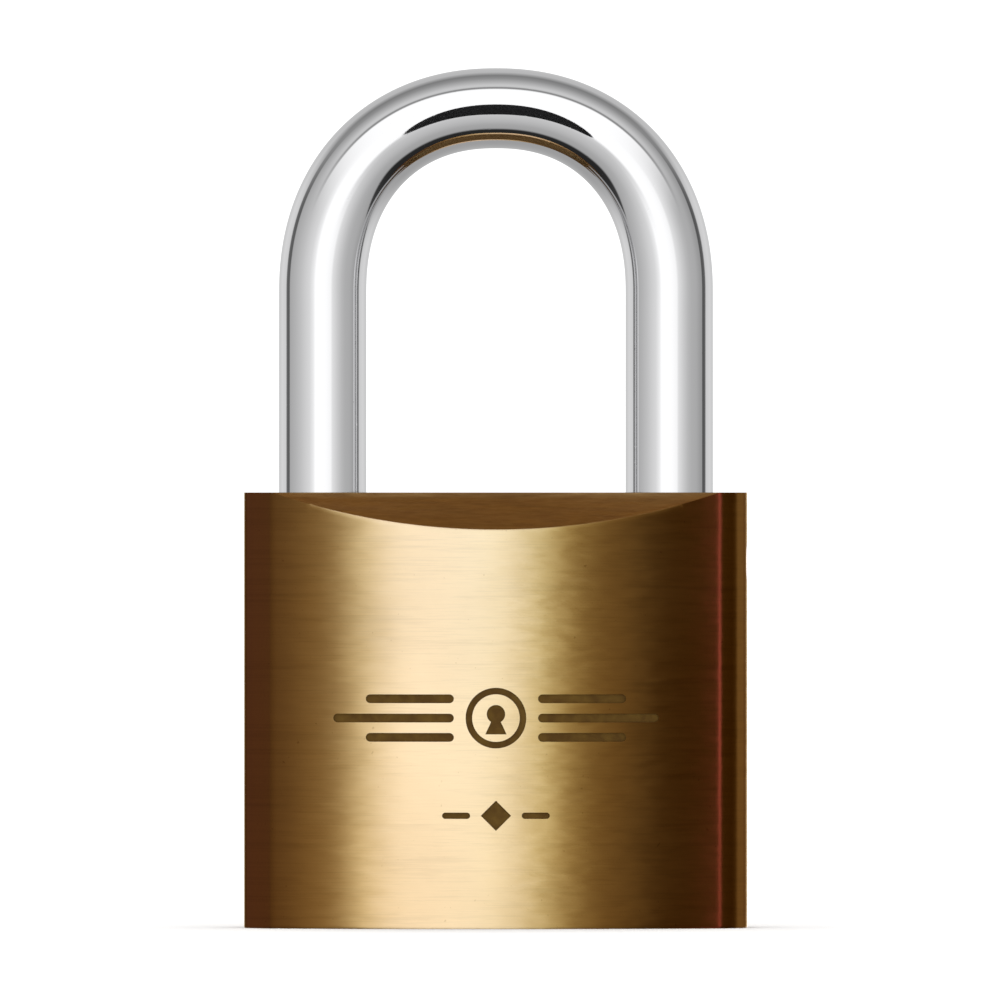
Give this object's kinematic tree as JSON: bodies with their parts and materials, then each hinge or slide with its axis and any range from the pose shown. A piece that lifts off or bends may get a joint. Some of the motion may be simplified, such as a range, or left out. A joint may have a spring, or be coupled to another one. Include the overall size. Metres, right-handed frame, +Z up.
{
  "type": "padlock",
  "caption": "Solid brass padlock with crowned brushed faces, a round chromed shackle held at both legs by locking balls, and a pin cylinder with its keyway in the base.",
  "frame": {"origin": "middle of the case's base, on the cylinder's axis", "axes": "+Z up through the shackle, -Y out of the front face, +X towards the toe leg"},
  "size_m": [0.045, 0.019, 0.0769],
  "materials": {
    "brushed_brass": "brushed",
    "turned_brass": "turned",
    "chrome": "polished",
    "steel": "ground"
  },
  "bodies": {
    "case": {"body": "brushed_brass", "ball_hole_plug": "brushed_brass", "shackle_retaining_pin": "steel", "plug_retaining_pin": "steel", "shackle_spring": "steel", "chamber_plug_1": "brushed_brass", "chamber_plug_2": "brushed_brass", "chamber_plug_3": "brushed_brass", "chamber_plug_4": "brushed_brass", "chamber_plug_5": "brushed_brass", "driver_spring_1": "steel", "driver_spring_2": "steel", "driver_spring_3": "steel", "driver_spring_4": "steel", "driver_spring_5": "steel"},
    "shackle": {"shackle": "chrome"},
    "cylinder": {"plug": "turned_brass", "actuator": "steel"},
    "heel_ball": {"ball_heel": "steel"},
    "toe_ball": {"ball_toe": "steel"},
    "driver_1": {"driver_pin_1": "steel"},
    "bottom_1": {"key_pin_1": "turned_brass"},
    "driver_2": {"driver_pin_2": "steel"},
    "bottom_2": {"key_pin_2": "turned_brass"},
    "driver_3": {"driver_pin_3": "steel"},
    "bottom_3": {"key_pin_3": "turned_brass"},
    "driver_4": {"driver_pin_4": "steel"},
    "bottom_4": {"key_pin_4": "turned_brass"},
    "driver_5": {"driver_pin_5": "steel"},
    "bottom_5": {"key_pin_5": "turned_brass"}
  },
  "joints": [
    {"name": "shackle_lift", "type": "slide", "parent": "case", "child": "shackle", "axis": [0, 0, 1], "range_m": [0, 0.0125], "deforming": ["shackle_spring"]},
    {"name": "plug_turn", "type": "hinge", "parent": "case", "child": "cylinder", "pos_m": [0, 0, 0], "axis": [0, 0, 1], "range_deg": [0, 90]},
    {"name": "ball_heel_slide", "type": "slide", "parent": "case", "child": "heel_ball", "axis": [1, 0, 0], "range_m": [0, 0.004]},
    {"name": "ball_toe_slide", "type": "slide", "parent": "case", "child": "toe_ball", "axis": [-1, 0, 0], "range_m": [0, 0.004]},
    {"name": "driver_pin_1_slide", "type": "slide", "parent": "case", "child": "driver_1", "axis": [1, 0, 0], "range_m": [-0.00215, 0], "stiffness_N_per_m": 100, "springref_m": -0.005, "deforming": ["driver_spring_1"]},
    {"name": "key_pin_1_slide", "type": "slide", "parent": "cylinder", "child": "bottom_1", "axis": [1, 0, 0], "range_m": [-0.00215, 0]},
    {"name": "driver_pin_2_slide", "type": "slide", "parent": "case", "child": "driver_2", "axis": [1, 0, 0], "range_m": [-0.00095, 0], "stiffness_N_per_m": 100, "springref_m": -0.005, "deforming": ["driver_spring_2"]},
    {"name": "key_pin_2_slide", "type": "slide", "parent": "cylinder", "child": "bottom_2", "axis": [1, 0, 0], "range_m": [-0.00095, 0]},
    {"name": "driver_pin_3_slide", "type": "slide", "parent": "case", "child": "driver_3", "axis": [1, 0, 0], "range_m": [-0.00175, 0], "stiffness_N_per_m": 100, "springref_m": -0.005, "deforming": ["driver_spring_3"]},
    {"name": "key_pin_3_slide", "type": "slide", "parent": "cylinder", "child": "bottom_3", "axis": [1, 0, 0], "range_m": [-0.00175, 0]},
    {"name": "driver_pin_4_slide", "type": "slide", "parent": "case", "child": "driver_4", "axis": [1, 0, 0], "range_m": [-0.00055, 0], "stiffness_N_per_m": 100, "springref_m": -0.005, "deforming": ["driver_spring_4"]},
    {"name": "key_pin_4_slide", "type": "slide", "parent": "cylinder", "child": "bottom_4", "axis": [1, 0, 0], "range_m": [-0.00055, 0]},
    {"name": "driver_pin_5_slide", "type": "slide", "parent": "case", "child": "driver_5", "axis": [1, 0, 0], "range_m": [-0.00135, 0], "stiffness_N_per_m": 100, "springref_m": -0.005, "deforming": ["driver_spring_5"]},
    {"name": "key_pin_5_slide", "type": "slide", "parent": "cylinder", "child": "bottom_5", "axis": [1, 0, 0], "range_m": [-0.00135, 0]}
  ],
  "couplings": [
    {"joint": "plug_turn", "follows": "shackle_lift", "rad_per_m": 125.66},
    {"joint": "ball_heel_slide", "follows": "shackle_lift", "ratio": 0.32},
    {"joint": "ball_toe_slide", "follows": "shackle_lift", "ratio": 0.32},
    {"joint": "key_pin_1_slide", "follows": "driver_pin_1_slide", "ratio": 1},
    {"joint": "key_pin_2_slide", "follows": "driver_pin_2_slide", "ratio": 1},
    {"joint": "key_pin_3_slide", "follows": "driver_pin_3_slide", "ratio": 1},
    {"joint": "key_pin_4_slide", "follows": "driver_pin_4_slide", "ratio": 1},
    {"joint": "key_pin_5_slide", "follows": "driver_pin_5_slide", "ratio": 1}
  ]
}
